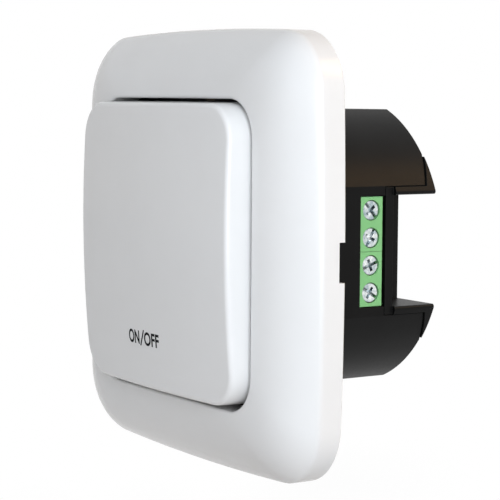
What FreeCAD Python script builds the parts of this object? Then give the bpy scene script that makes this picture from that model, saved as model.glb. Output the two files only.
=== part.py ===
import FreeCAD, Part
import math
import os

os.makedirs("parts", exist_ok=True)
V = FreeCAD.Vector

# Wall switch with a push key, a cover frame and a round wall-box body.
# X points right seen from the front, Y points into the wall, Z points up.
# The wall plane is Y = 0, so everything in front of the wall has a negative Y.
# All sizes are in millimetres.

# Cover frame
frame_width = 81.3
frame_side_bow = 0.6
frame_corner_radius = 11.5
band_corner_radius = 8.5
frame_side_height = 4.7
frame_lip_height = 11.3
band_bulge = 1.75
frame_wall = 2.0
opening_width = 55.8
opening_corner_radius = 7.5
collar_wall = 1.5
collar_end_height = 5.2
pry_notch_width = 7.0
pry_notch_depth = 1.35
band_steps = 6
straight_bow = 0.05
lip_overrun = 1.0
lip_fall = 0.08

# Snap posts that hold the frame on the flange
post_offset = 31.5
post_size = 4.4
snap_stem = 1.6
snap_width = 3.0
snap_nose = 0.7
snap_nose_height = 0.8
snap_clearance = 0.3

# Push key
key_gap = 0.5
key_bottom_gap = 1.1
key_corner_radius = 7.0
key_height = 17.1
key_skirt_height = 6.5
key_wall = 1.8
key_edge_radius = 0.9
key_draft_deg = 2.0
crown_radius = 280.0
crown_centre_z = 5.0
pivot_z = 20.0
pivot_height = 8.6
pivot_radius = 1.5
pivot_clearance = 0.05
key_travel_deg = 1.2
key_hook_x = 9.0
key_hook_inset = 5.0
key_hook_width = 4.0
key_hook_stem = 1.6
key_hook_nose = 1.0
key_hook_nose_depth = 1.3
key_hook_gap = 0.05
key_hook_clearance = 0.35
actuator_radius = 2.0
actuator_gap = 0.05

# Return springs below the key
spring_x = 15.0
spring_z = -10.0
spring_radius = 2.05
spring_wire = 0.5
spring_turns = 6
spring_seat_depth = 0.6
spring_seat_clearance = 0.4
spring_boss_radius = 3.0
spring_boss_height = 14.2
spring_guide_radius = 1.3
spring_guide_length = 2.5

# Housing flange and pivot ears
flange_thickness = 2.6
flange_gap = 0.8
flange_corner_radius = 10.5
ear_x = 22.3
ear_thickness = 2.2
ear_width = 5.4
ear_margin = 1.8
box_screw_spacing = 60.0
box_screw_slot_width = 3.6
box_screw_slot_length = 6.4

# Round wall-box body
body_radius = 28.1
body_depth = 30.9
body_flat_drop = 2.1
body_flat_z = body_radius - body_flat_drop
body_wall = 1.6
inner_radius = body_radius - body_wall
terminal_flat_half = 12.0
terminal_flat_x = math.sqrt(body_radius ** 2 - terminal_flat_half ** 2)

# Terminals
terminal_pitch = 5.08
pole_count = 4
poles_per_block = 2
terminal_screw_y = 16.85
window_depth = 5.3
window_clearance = 0.14
block_seam = 0.06
block_face_recess = 0.3
block_length = 11.9
block_back_x = terminal_flat_x - block_length
block_head_length = 1.6
block_wall_clearance = 0.3
screw_head_radius = 1.75
screw_head_length = 1.6
screw_head_recess = 0.3
screw_head_clearance = 0.15
screw_shank_radius = 1.2
screw_shank_clearance = 0.08
screw_slot_width = 0.6
screw_slot_depth = 0.7
screw_cross_length = 2.3
screw_tip_gap = 0.02
screw_turns_deg = (130.0, 62.0, 20.0, 148.0)
chamber_roof = 0.6
cage_length = 5.9
cage_width = 3.7
cage_depth = 3.6
cage_top = 1.0
cage_bottom = 0.8
cage_side = 0.65
cage_clearance = 0.2
cage_inset = 10.8
cage_back_x = terminal_flat_x - cage_inset
bar_thickness = 0.8
bar_width = 2.2
bar_gap = 2.0
bar_end_margin = 0.2
bar_pin_width = 1.0
bar_pin_start_y = 12.0
bar_clearance = 0.05
wire_hole_radius = 1.45

# Rear cover with the wiring recess
cover_thickness = 1.8
cover_clearance = 0.15
recess_floor_y = 19.9
recess_floor_thickness = 1.8
recess_wall = 1.5
recess_reach = 10.6
recess_inner_x = terminal_flat_x - recess_reach
recess_inner_wall = 1.6
tab_end_z = 17.2
tab_proud = 0.3
horn_radius = 0.5
cover_wire_hole_radius = 1.4
cover_arm_half = 4.0
cover_arm_thickness = 1.5
cover_arm_reach = 6.0
cover_nose = 0.7
cover_nose_length = 1.5
rib_width = 3.0
rib_reach = 1.4
rib_length = 7.0
rib_angles_deg = (58.0, 122.0, 238.0, 302.0)

# Control board: its layout is drawn for one inside radius of the body, and spreads with it
layout_radius = 26.5
spread = inner_radius / layout_radius


def spread_all(values):
    """Places or ranges of the layout, spread with the body."""
    return tuple(value * spread for value in values)


board_front_y = 6.4
board_thickness = 1.6
board_gap = 1.2
board_screw_places = (spread_all((-22.0, 3.5)), spread_all((16.0, 15.5)), spread_all((16.0, -15.5)))
board_post_radius = 2.3
board_screw_radius = 1.2
board_screw_length = 6.0
board_screw_head_radius = 2.2
board_screw_head_length = 1.5
board_screw_clearance = 0.06
board_hole_clearance = 0.3
pin_radius = 0.4
pin_hole_clearance = 0.15
pin_protrusion = 1.2

# Push-button switch on the board
tact_z = -2.0
tact_size = 6.2
tact_depth = 3.5
plunger_radius = 1.7
plunger_clearance = 0.06
plunger_end_height = 4.0
plunger_engagement = 0.5
plunger_spare_travel = 0.3
plunger_hole_clearance = 0.5
tact_pins = ((-2.25, -4.7), (2.25, -4.7), (-2.25, 0.7), (2.25, 0.7))

# Parts on the rear of the board: ranges in X and Z, and depth along Y
relay_x = spread_all((-18.5, -3.0))
relay_z = spread_all((-17.0, 2.0))
relay_depth = 15.3
relay_corner = 0.6
relay_pin_inset = 2.0
film_x = spread_all((-10.0, 8.0))
film_z = spread_all((6.0, 13.0))
film_depth = 12.0
film_corner = 0.8
film_pin_inset = 1.5
large_can_place = spread_all((-16.0, 12.0))
large_can_radius = 4.0 * spread
large_can_depth = 12.0
large_can_pin_pitch = 3.5
small_can_place = spread_all((-8.0, 18.0))
small_can_radius = 3.15 * spread
small_can_depth = 9.0
small_can_pin_pitch = 2.5
can_groove_depth = 0.3
can_groove_width = 0.8
can_groove_offset = 1.6
can_edge = 0.4
varistor_place = spread_all((6.0, 18.0))
varistor_radius = 4.5 * spread
varistor_thickness = 4.0 * spread
varistor_lift = 1.4
varistor_pin_pitch = 5.0
fuse_place = spread_all((9.0, -16.0))
fuse_radius = 4.25 * spread
fuse_depth = 8.0
fuse_pin_pitch = 5.08

# Radio module on a pin header, and its antenna
module_x = spread_all((-1.9, 11.3))
module_z = spread_all((-11.0, 4.2))
module_thickness = 1.0
header_z = 2.9 * spread
header_first_x = -0.3 * spread
header_pitch = 2.5 * spread
header_count = 5
header_width = 2.4
header_depth = 2.5
shield_x = spread_all((0.6, 9.6))
shield_z = spread_all((-9.5, -0.5))
shield_depth = 2.0
shield_corner = 0.7
antenna_start_x = 3.0 * spread
antenna_length = 14.0 * spread
antenna_z = -20.4 * spread
antenna_radius = 2.1 * spread
antenna_wire = 0.8
antenna_leg_radius = 0.5
antenna_turns = 9
antenna_lift = 1.9

# Small parts on the front of the board
chip_place = spread_all((-13.0, 5.0))
chip_length = 8.7
chip_width = 3.9
chip_depth = 1.5
chip_standoff = 0.2
chip_lead_count = 7
chip_lead_pitch = 1.1
chip_lead_width = 0.42
chip_lead_reach = 1.0
chip_lead_thickness = 0.3
rectifier_place = spread_all((10.0, 10.0))
rectifier_length = 4.7
rectifier_width = 3.9
rectifier_depth = 2.4
rectifier_lead_count = 2
rectifier_lead_pitch = 2.5
rectifier_lead_width = 0.7

# Derived planes and sizes
flange_front_y = -flange_thickness
board_rear_y = board_front_y + board_thickness
key_half = opening_width / 2.0 - key_gap
pole_z = [terminal_pitch * ((pole_count - 1) / 2.0 - index) for index in range(pole_count)]
block_half_length = terminal_pitch * pole_count / 2.0
window_half = block_half_length + window_clearance
window_front_y = terminal_screw_y - window_depth / 2.0
window_rear_y = terminal_screw_y + window_depth / 2.0
block_face_x = terminal_flat_x - block_face_recess
head_top_x = block_face_x - screw_head_recess
head_seat_x = head_top_x - screw_head_length
chamber_top_x = head_seat_x - chamber_roof
bar_back_x = cage_back_x + cage_bottom + bar_gap
bar_front_x = bar_back_x + bar_thickness
wire_x = cage_back_x + cage_bottom + bar_gap / 2.0
block_rear_y = recess_floor_y - block_wall_clearance
recess_outer_half = terminal_flat_half - cover_clearance
recess_half = recess_outer_half - recess_wall
key_hook_z = key_hook_inset - inner_radius
key_travel = math.radians(key_travel_deg)
key_draft = math.tan(math.radians(key_draft_deg))
plunger_travel = (pivot_z - tact_z) * key_travel
tact_front_y = board_front_y - tact_depth


def box(x0, x1, y0, y1, z0, z1):
    """Box between the given limits."""
    return Part.makeBox(x1 - x0, y1 - y0, z1 - z0, V(x0, y0, z0))


def rod_x(radius, x0, x1, y, z):
    """Round rod along X."""
    return Part.makeCylinder(radius, x1 - x0, V(x0, y, z), V(1, 0, 0))


def rod_y(radius, y0, y1, x, z):
    """Round rod along Y."""
    return Part.makeCylinder(radius, y1 - y0, V(x, y0, z), V(0, 1, 0))


def joined(first, others):
    """One solid made of several that touch or overlap."""
    return first.fuse(others).removeSplitter()


def rounded_outline(x0, x1, z0, z1, radius, y):
    """Rectangle with rounded corners in the plane at the given Y."""
    k = radius * (1.0 - math.sqrt(0.5))
    corners = (
        (V(x1 - radius, y, z1), V(x1 - k, y, z1 - k), V(x1, y, z1 - radius)),
        (V(x1, y, z0 + radius), V(x1 - k, y, z0 + k), V(x1 - radius, y, z0)),
        (V(x0 + radius, y, z0), V(x0 + k, y, z0 + k), V(x0, y, z0 + radius)),
        (V(x0, y, z1 - radius), V(x0 + k, y, z1 - k), V(x0 + radius, y, z1)),
    )
    edges = []
    for index, corner in enumerate(corners):
        following = corners[(index + 1) % len(corners)]
        edges.append(Part.Arc(*corner).toShape())
        edges.append(Part.LineSegment(corner[2], following[0]).toShape())
    return Part.Wire(edges)


def rounded_block(x0, x1, z0, z1, radius, y0, y1):
    """Block with rounded edges along Y."""
    return Part.Face(rounded_outline(x0, x1, z0, z1, radius, y0)).extrude(V(0, y1 - y0, 0))


def rounded_square(half, radius, y0, y1):
    """Square block with rounded edges along Y, centred on the Y axis."""
    return rounded_block(-half, half, -half, half, radius, y0, y1)


def bowed_outline(half, radius, bow, y):
    """Rounded square whose sides are long arcs that bow out by the given height."""
    side_radius = ((half - radius) ** 2 + bow ** 2) / (2.0 * bow)
    k = side_radius - half
    m = side_radius - radius
    c = (math.sqrt(2.0 * m ** 2 - k ** 2) - k) / 2.0
    tangent_x = side_radius * c / m
    tangent_z = side_radius * (c + k) / m - k
    corner = c + radius * math.sqrt(0.5)
    side = ((-tangent_x, tangent_z), (0.0, half), (tangent_x, tangent_z))
    points = side + ((corner, corner), (tangent_z, tangent_x))
    edges = []
    for quarter in range(4):
        cosine = (1, 0, -1, 0)[quarter]
        sine = (0, 1, 0, -1)[quarter]
        turned = [V(x * cosine + z * sine, y, z * cosine - x * sine) for x, z in points]
        edges.append(Part.Arc(turned[0], turned[1], turned[2]).toShape())
        edges.append(Part.Arc(turned[2], turned[3], turned[4]).toShape())
    return Part.Wire(edges)


# The frame's front band is an arc from its outer edge, where its tilt is greatest, to the opening
band_run = (frame_width - opening_width) / 2.0
band_rise = frame_lip_height - frame_side_height
band_chord = math.hypot(band_run, band_rise)
band_radius = (band_chord ** 2 / 4.0 + band_bulge ** 2) / (2.0 * band_bulge)
band_half_turn = math.asin(band_chord / 2.0 / band_radius)
band_edge_tilt = math.atan2(band_rise, band_run) + band_half_turn


def band_section(t, inset):
    """Outline of the front band, from its outer edge (0) to the opening (1), moved inwards by a depth."""
    tilt = band_edge_tilt - 2.0 * band_half_turn * t
    out = math.sin(tilt)
    up = math.cos(tilt)
    half = frame_width / 2.0 + band_radius * (out - math.sin(band_edge_tilt))
    height = frame_side_height + band_radius * (up - math.cos(band_edge_tilt))
    radius = (frame_corner_radius * (1 - t) * (1 - 2 * t) + band_corner_radius * 4 * t * (1 - t)
              + opening_corner_radius * t * (2 * t - 1))
    bow = straight_bow + frame_side_bow * (1.0 - t)
    return half - inset * out, radius - inset * out, bow, -(height - inset * up)


def frame_block(inset, rear_y):
    """Solid block bounded by the frame's outside, or by a surface a wall thickness inside it."""
    sections = [band_section(step / band_steps, inset) for step in range(band_steps + 1)]
    last_y = sections[-1][3] + lip_fall
    sections.append((opening_width / 2.0 - lip_overrun, opening_corner_radius, straight_bow, last_y))
    band = Part.makeLoft([bowed_outline(*section) for section in sections], True, False)
    half, radius, bow, edge_y = sections[0]
    side = Part.Face(bowed_outline(half, radius, bow, rear_y)).extrude(V(0, edge_y - rear_y, 0))
    return joined(side, [band])


def snap_stem_box(sign_x, sign_z, clearance, y0, y1):
    """Stem of a frame snap, or with a clearance the slot that takes it."""
    x = sign_x * post_offset
    z = sign_z * post_offset
    half_x = snap_stem / 2.0 + clearance
    half_z = snap_width / 2.0 + clearance
    return box(x - half_x, x + half_x, y0, y1, z - half_z, z + half_z)


def snap_nose_box(sign_x, sign_z, clearance, y0, y1):
    """Nose of a frame snap, or with a clearance the recess that takes it."""
    near = sign_x * post_offset
    far = sign_x * (post_offset + snap_stem / 2.0 + snap_nose + clearance)
    z = sign_z * post_offset
    half_z = snap_width / 2.0 + clearance
    return box(min(near, far), max(near, far), y0, y1, z - half_z, z + half_z)


def corner_signs():
    """Signs of X and Z in the four corners."""
    return [(sign_x, sign_z) for sign_x in (-1, 1) for sign_z in (-1, 1)]


snap_tip_y = -snap_clearance
snap_catch_y = snap_tip_y - snap_nose_height


def make_frame():
    """Convex cover frame with a collar around its opening and four snap posts."""
    outer = frame_block(0.0, 0.0)
    half = opening_width / 2.0
    collar = rounded_square(half + collar_wall, opening_corner_radius + collar_wall,
                            -2.0 * frame_lip_height, -collar_end_height)
    cavity = frame_block(frame_wall, 1.0).cut(collar)
    opening = rounded_square(half, opening_corner_radius, -2.0 * frame_lip_height, 1.0)
    notch = box(half, frame_width, -pry_notch_depth, 1.0, -pry_notch_width / 2.0, pry_notch_width / 2.0)
    shell = outer.cut([cavity, opening, notch])
    pieces = []
    for sign_x, sign_z in corner_signs():
        x = sign_x * post_offset
        z = sign_z * post_offset
        reach = post_size / 2.0
        post = box(x - reach, x + reach, -frame_lip_height, flange_front_y, z - reach, z + reach)
        pieces.append(post.common(outer))
        pieces.append(snap_stem_box(sign_x, sign_z, 0.0, flange_front_y - 1.0, snap_tip_y))
        pieces.append(snap_nose_box(sign_x, sign_z, 0.0, snap_catch_y, snap_tip_y))
    return joined(shell, pieces)


def crown_y(x, z, depth):
    """Y of the key's crowned face, or of a surface the given depth behind it."""
    reach = crown_radius - depth
    return crown_radius - key_height - math.sqrt(reach ** 2 - x ** 2 - (z - crown_centre_z) ** 2)


def tapered_outline(half, radius, y):
    """Outline of the key's side at one place: given at the skirt, smaller towards the front."""
    taper = (-key_skirt_height - y) * key_draft
    reach = half - taper
    lowest = key_bottom_gap - key_gap - reach
    return rounded_outline(-reach, reach, lowest, reach, radius - taper, y)


def crowned_block(half, radius, depth, rear_y):
    """Square block with tapered sides and a crowned front."""
    front_y = -key_height - 1.0
    sides = Part.makeLoft([tapered_outline(half, radius, rear_y), tapered_outline(half, radius, front_y)],
                          True, True)
    centre = V(0, crown_radius - key_height, crown_centre_z)
    ball = Part.makeSphere(crown_radius - depth, centre)
    return sides.common(ball)


def make_key():
    """Push key: a crowned shell with pivot pins, hooks, an actuator post and spring guides."""
    skirt_y = -key_skirt_height
    solid = crowned_block(key_half, key_corner_radius, 0.0, skirt_y)
    rim = [edge for edge in solid.Edges if edge.BoundBox.YMax < skirt_y - key_wall]
    solid = solid.makeFillet(key_edge_radius, rim)
    inner_half = key_half - key_wall
    hollow = crowned_block(inner_half, key_corner_radius - key_wall, key_wall, skirt_y + 1.0)
    shell = solid.cut(hollow)
    root = key_wall / 2.0
    pieces = []
    for sign in (-1, 1):
        pin_x = sorted((sign * ear_x, sign * (inner_half + root)))
        pieces.append(rod_x(pivot_radius, pin_x[0], pin_x[1], -pivot_height, pivot_z))
        x = sign * key_hook_x
        z = key_hook_z
        half_w = key_hook_width / 2.0
        half_s = key_hook_stem / 2.0
        tip_y = key_hook_gap + key_hook_nose_depth
        stem_y = crown_y(x, z, root)
        pieces.append(box(x - half_w, x + half_w, stem_y, tip_y, z - half_s, z + half_s))
        pieces.append(box(x - half_w, x + half_w, key_hook_gap, tip_y, z - half_s - key_hook_nose, z))
        spring_y = crown_y(sign * spring_x, spring_z, root)
        guide_y = -spring_boss_height + spring_guide_length
        pieces.append(rod_y(spring_boss_radius, spring_y, -spring_boss_height, sign * spring_x, spring_z))
        pieces.append(rod_y(spring_guide_radius, spring_y, guide_y, sign * spring_x, spring_z))
    post_y = crown_y(0.0, tact_z, root)
    pieces.append(rod_y(actuator_radius, post_y, -plunger_end_height - actuator_gap, 0.0, tact_z))
    return joined(shell, pieces)


def body_block(radius, flat_z, flat_x, y0, y1):
    """Round block with two level flats and one flat for the terminals."""
    block = rod_y(radius, y0, y1, 0.0, 0.0)
    return block.common(box(-radius - 1.0, flat_x, y0, y1, -flat_z, flat_z))


def tab_block(sign, clearance, radius):
    """Wedge at the back of the body where the rear cover reaches the outside."""
    start = recess_half + recess_wall / 2.0
    slope = (tab_end_z - recess_outer_half) / cover_thickness
    shift = clearance * math.hypot(1.0, slope)
    near_y = body_depth - cover_thickness - clearance
    far_y = body_depth + clearance
    near_z = recess_outer_half + shift - slope * clearance
    far_z = tab_end_z + shift + slope * clearance
    profile = ((start, near_y), (near_z, near_y), (far_z, far_y), (start, far_y))
    points = [V(recess_inner_x, y, sign * z) for z, y in profile]
    wedge = Part.Face(Part.makePolygon(points + [points[0]])).extrude(V(radius, 0, 0))
    return wedge.common(rod_y(radius, near_y - 1.0, far_y, 0.0, 0.0))


def ribs():
    """Ribs on the inside of the body that carry the rear cover."""
    pieces = []
    end_y = body_depth - cover_thickness
    inside = body_radius - body_wall
    for angle in rib_angles_deg:
        rib = box(inside - rib_reach, inside + body_wall / 2.0, end_y - rib_length, end_y,
                  -rib_width / 2.0, rib_width / 2.0)
        rib.rotate(V(0, 0, 0), V(0, 1, 0), -angle)
        pieces.append(rib)
    return pieces


def box_screw_slot(z, y0, y1):
    """Upright slot for one of the two screws of the wall box."""
    half_w = box_screw_slot_width / 2.0
    reach = box_screw_slot_length / 2.0 - half_w
    middle = box(-half_w, half_w, y0, y1, z - reach, z + reach)
    return joined(middle, [rod_y(half_w, y0, y1, 0.0, z - reach), rod_y(half_w, y0, y1, 0.0, z + reach)])


def make_housing():
    """Flange, pivot ears and the round body, in one moulding."""
    inner_flange = band_section(0.0, frame_wall)[0] - flange_gap
    flange = rounded_square(inner_flange, flange_corner_radius, flange_front_y, 0.0)
    body = body_block(body_radius, body_flat_z, terminal_flat_x, -flange_thickness / 2.0, body_depth)
    hollow = body_block(body_radius - body_wall, body_flat_z - body_wall, terminal_flat_x - body_wall,
                        0.0, body_depth + 1.0)
    shell = joined(flange, [body]).cut(hollow)
    ear_base = flange_front_y - flange_thickness
    ear_top = -pivot_height - pivot_radius - ear_margin
    pieces = [rib.common(body) for rib in ribs()]
    cuts = []
    for sign in (-1, 1):
        ear = sorted((sign * ear_x, sign * (ear_x + ear_thickness)))
        pieces.append(box(ear[0], ear[1], ear_top, flange_front_y / 2.0,
                          pivot_z - ear_width / 2.0, pivot_z + ear_width / 2.0))
        cuts.append(rod_x(pivot_radius + pivot_clearance, ear[0] - 1.0, ear[1] + 1.0, -pivot_height, pivot_z))
        cuts.append(rod_y(spring_radius + spring_wire / 2.0 + spring_seat_clearance, ear_base,
                          flange_front_y + spring_seat_depth, sign * spring_x, spring_z))
        x = sign * key_hook_x
        half_w = key_hook_width / 2.0 + key_hook_clearance
        half_s = key_hook_stem / 2.0 + key_hook_clearance
        cuts.append(box(x - half_w, x + half_w, ear_base, 1.0, key_hook_z - half_s, key_hook_z + half_s))
        cuts.append(box_screw_slot(sign * box_screw_spacing / 2.0, ear_base, 1.0))
        cuts.append(tab_block(sign, cover_clearance, body_radius + tab_proud + 1.0))
        nose_y = body_depth - cover_thickness - cover_arm_reach
        groove = sorted((sign * (body_flat_z - 2.0 * body_wall),
                         sign * (body_flat_z - body_wall + cover_nose)))
        cuts.append(box(-cover_arm_half - snap_clearance, cover_arm_half + snap_clearance,
                        nose_y - snap_clearance, nose_y + cover_nose_length + cover_clearance,
                        groove[0], groove[1]))
    for sign_x, sign_z in corner_signs():
        cuts.append(snap_stem_box(sign_x, sign_z, snap_clearance, ear_base, 1.0))
        cuts.append(snap_nose_box(sign_x, sign_z, snap_clearance, snap_catch_y, 1.0))
    for x, z in board_screw_places:
        pieces.append(rod_y(board_post_radius, flange_front_y / 2.0, board_front_y, x, z))
        cuts.append(rod_y(board_screw_radius + board_screw_clearance, board_rear_y - board_screw_length - 0.5,
                          board_front_y + 1.0, x, z))
    cuts.append(rod_y(plunger_radius + plunger_hole_clearance, ear_base, 1.0, 0.0, tact_z))
    cuts.append(box(0.0, body_radius + 1.0, recess_floor_y - cover_clearance, body_depth + 1.0,
                    -terminal_flat_half + 0.05, terminal_flat_half - 0.05))
    cuts.append(box(terminal_flat_x - 2.0 * body_wall, body_radius + 1.0, window_front_y, recess_floor_y,
                    -window_half, window_half))
    return joined(shell, pieces).cut(cuts)


def recess_trough():
    """Trough around the wiring recess: a floor, an inner wall and two side walls with rounded tips."""
    proud_radius = body_radius + tab_proud
    floor_end_y = recess_floor_y + recess_floor_thickness
    wall_x = recess_inner_x - recess_inner_wall
    shaft = rod_y(proud_radius, recess_floor_y, body_depth, 0.0, 0.0)
    block = box(wall_x, proud_radius, recess_floor_y, body_depth, -recess_outer_half, recess_outer_half)
    flat_cut = box(terminal_flat_x, proud_radius + 1.0, recess_floor_y - 1.0, floor_end_y,
                   -recess_outer_half - 1.0, recess_outer_half + 1.0)
    recess = box(recess_inner_x, proud_radius + 1.0, floor_end_y, body_depth + 1.0, -recess_half, recess_half)
    trough = block.common(shaft).cut([flat_cut, recess])
    tips = []
    for edge in trough.Edges:
        centre = edge.BoundBox.Center
        along_y = edge.BoundBox.YLength > (body_depth - floor_end_y) * 0.8
        at_tip = abs(abs(centre.z) - recess_half) < 0.05 and centre.x > terminal_flat_x
        if along_y and at_tip:
            tips.append(edge)
    return trough.makeFillet(horn_radius, tips)


def make_rear_cover():
    """Cover plate with the wiring recess, four wire holes, two side tabs and two snap arms."""
    inside = body_radius - body_wall - cover_clearance
    inside_z = body_flat_z - body_wall - cover_clearance
    front_y = body_depth - cover_thickness
    plate = body_block(inside, inside_z, inside, front_y, body_depth)
    plate = plate.cut(box(recess_inner_x, inside + 1.0, front_y - 1.0, body_depth + 1.0,
                          -recess_half, recess_half))
    pieces = [recess_trough()]
    for sign in (-1, 1):
        pieces.append(tab_block(sign, 0.0, body_radius + tab_proud))
        arm_z = sorted((sign * (inside_z - cover_arm_thickness), sign * inside_z))
        nose_z = sorted((sign * (inside_z - cover_arm_thickness), sign * (inside_z + cover_nose)))
        arm_y = front_y - cover_arm_reach
        pieces.append(box(-cover_arm_half, cover_arm_half, arm_y, body_depth, arm_z[0], arm_z[1]))
        pieces.append(box(-cover_arm_half, cover_arm_half, arm_y, arm_y + cover_nose_length,
                          nose_z[0], nose_z[1]))
    floor_end_y = recess_floor_y + recess_floor_thickness
    holes = []
    for z in pole_z:
        holes.append(rod_y(cover_wire_hole_radius, recess_floor_y - 1.0, floor_end_y + 1.0, wire_x, z))
    return joined(plate, pieces).cut(holes)


def make_terminal_block(first_pole):
    """Two-pole block: screw holes in the outer face, a chamber and a wire hole for each pole."""
    poles = pole_z[first_pole:first_pole + poles_per_block]
    top = poles[0] + terminal_pitch / 2.0 - block_seam / 2.0
    bottom = poles[-1] - terminal_pitch / 2.0 + block_seam / 2.0
    inner_x = terminal_flat_x - body_wall - block_wall_clearance
    body = box(block_back_x, inner_x, board_rear_y, block_rear_y, bottom, top)
    head = box(inner_x - block_head_length, block_face_x, window_front_y + window_clearance,
               window_rear_y - window_clearance, bottom, top)
    cuts = []
    half_c = cage_width / 2.0 + cage_clearance
    half_d = cage_depth / 2.0 + cage_clearance
    half_b = bar_width / 2.0 + bar_clearance
    half_p = bar_pin_width / 2.0 + bar_clearance
    for z in poles:
        y = terminal_screw_y
        cuts.append(rod_x(screw_head_radius + screw_head_clearance, head_seat_x, block_face_x + 1.0, y, z))
        cuts.append(rod_x(screw_shank_radius + screw_shank_clearance, chamber_top_x - 1.0,
                          head_seat_x + 1.0, y, z))
        cuts.append(box(cage_back_x - cage_clearance, chamber_top_x, y - half_d, y + half_d,
                        z - half_c, z + half_c))
        cuts.append(box(bar_back_x - bar_clearance, bar_front_x + bar_clearance, bar_pin_start_y, y,
                        z - half_b, z + half_b))
        cuts.append(box(bar_back_x - bar_clearance, bar_front_x + bar_clearance, board_rear_y - 1.0, y,
                        z - half_p, z + half_p))
        cuts.append(rod_y(wire_hole_radius, y, block_rear_y + 1.0, wire_x, z))
    return joined(body, [head]).cut(cuts)


def make_terminal_screw(index):
    """Captive clamp screw with a combined slot and cross head."""
    z = pole_z[index]
    y = terminal_screw_y
    head = rod_x(screw_head_radius, head_seat_x, head_top_x, y, z)
    shank = rod_x(screw_shank_radius, bar_front_x + screw_tip_gap, head_seat_x, y, z)
    half_w = screw_slot_width / 2.0
    floor_x = head_top_x - screw_slot_depth
    half_l = screw_cross_length / 2.0
    slot = box(floor_x, head_top_x + 1.0, y - 2.0 * screw_head_radius, y + 2.0 * screw_head_radius,
               z - half_w, z + half_w)
    cross = box(floor_x, head_top_x + 1.0, y - half_w, y + half_w, z - half_l, z + half_l)
    screw = joined(head, [shank]).cut([slot, cross])
    screw.rotate(V(0, y, z), V(1, 0, 0), screw_turns_deg[index])
    return screw


def make_clamp_cage(index):
    """Rising cage: a short square tube whose front wall runs on the screw."""
    z = pole_z[index]
    y = terminal_screw_y
    half_c = cage_width / 2.0
    half_d = cage_depth / 2.0
    front_x = cage_back_x + cage_length
    outer = box(cage_back_x, front_x, y - half_d, y + half_d, z - half_c, z + half_c)
    inner = box(cage_back_x + cage_bottom, front_x - cage_top, y - half_d - 1.0, y + half_d + 1.0,
                z - half_c + cage_side, z + half_c - cage_side)
    hole = rod_x(screw_shank_radius + screw_shank_clearance, front_x - 2.0 * cage_top, front_x + 1.0, y, z)
    return outer.cut([inner, hole])


def make_contact_bar(index):
    """Flat contact bar inside the cage, with a narrow end that is soldered into the board."""
    z = pole_z[index]
    end_y = terminal_screw_y + cage_depth / 2.0 + cage_clearance - bar_end_margin
    bar = box(bar_back_x, bar_front_x, bar_pin_start_y, end_y, z - bar_width / 2.0, z + bar_width / 2.0)
    pin = box(bar_back_x, bar_front_x, board_front_y - pin_protrusion, bar_pin_start_y,
              z - bar_pin_width / 2.0, z + bar_pin_width / 2.0)
    return joined(bar, [pin])


def header_pins():
    """Places of the pins of the radio module's header."""
    return [(header_first_x + header_pitch * index, header_z) for index in range(header_count)]


def pair_pins(place, pitch):
    """Places of two pins side by side along X."""
    return [(place[0] - pitch / 2.0, place[1]), (place[0] + pitch / 2.0, place[1])]


def varistor_pins():
    """Places of the varistor's two pins, one above the other."""
    x, z = varistor_place
    return [(x, z - varistor_pin_pitch / 2.0), (x, z + varistor_pin_pitch / 2.0)]


def relay_pins():
    """Places of the relay's five pins: two near one end, three near the other."""
    left = relay_x[0] + relay_pin_inset
    right = relay_x[1] - relay_pin_inset
    bottom = relay_z[0] + relay_pin_inset
    top = relay_z[1] - relay_pin_inset
    return [(left, bottom), (right, bottom), ((left + right) / 2.0, bottom), (left, top), (right, top)]


def film_pins():
    """Places of the film capacitor's two pins."""
    middle = (film_z[0] + film_z[1]) / 2.0
    return [(film_x[0] + film_pin_inset, middle), (film_x[1] - film_pin_inset, middle)]


def board_pins():
    """Places of all the round pins that pass through the board."""
    places = relay_pins() + film_pins() + list(tact_pins) + header_pins() + varistor_pins()
    places += pair_pins(large_can_place, large_can_pin_pitch)
    places += pair_pins(small_can_place, small_can_pin_pitch)
    places += pair_pins(fuse_place, fuse_pin_pitch)
    return places


def rear_pins(places, top_y):
    """Pins of a part on the rear of the board, reaching through to its front."""
    return [rod_y(pin_radius, board_front_y - pin_protrusion, top_y, x, z) for x, z in places]


def make_control_board():
    """Round board with flats, screw holes and pin holes."""
    inside = body_radius - body_wall - board_gap
    flat_z = body_flat_z - body_wall - board_gap / 2.0
    flat_x = terminal_flat_x - body_wall - board_gap
    board = body_block(inside, flat_z, flat_x, board_front_y, board_rear_y)
    low = board_front_y - 1.0
    high = board_rear_y + 1.0
    cuts = [rod_y(pin_radius + pin_hole_clearance, low, high, x, z) for x, z in board_pins()]
    cuts += [rod_y(board_screw_radius + board_hole_clearance, low, high, x, z) for x, z in board_screw_places]
    for z in pole_z:
        half = bar_pin_width / 2.0 + pin_hole_clearance
        cuts.append(box(bar_back_x - pin_hole_clearance, bar_front_x + pin_hole_clearance, low, high,
                        z - half, z + half))
    cuts.append(rod_y(antenna_leg_radius + pin_hole_clearance, low, high, antenna_start_x, antenna_z))
    return board.cut(cuts)


def make_board_screws():
    """Three equal screws that hold the board on its posts."""
    screws = []
    for x, z in board_screw_places:
        shank = rod_y(board_screw_radius, board_rear_y - board_screw_length, board_rear_y, x, z)
        head_y = board_rear_y + board_screw_head_length
        head = rod_y(board_screw_head_radius, board_rear_y, head_y, x, z)
        half_w = screw_slot_width / 2.0
        half_l = screw_cross_length / 2.0
        floor_y = head_y - screw_slot_depth
        cross = [box(x - half_l, x + half_l, floor_y, head_y + 1.0, z - half_w, z + half_w),
                 box(x - half_w, x + half_w, floor_y, head_y + 1.0, z - half_l, z + half_l)]
        screws.append(joined(head, [shank]).cut(cross))
    return Part.makeCompound(screws)


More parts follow.
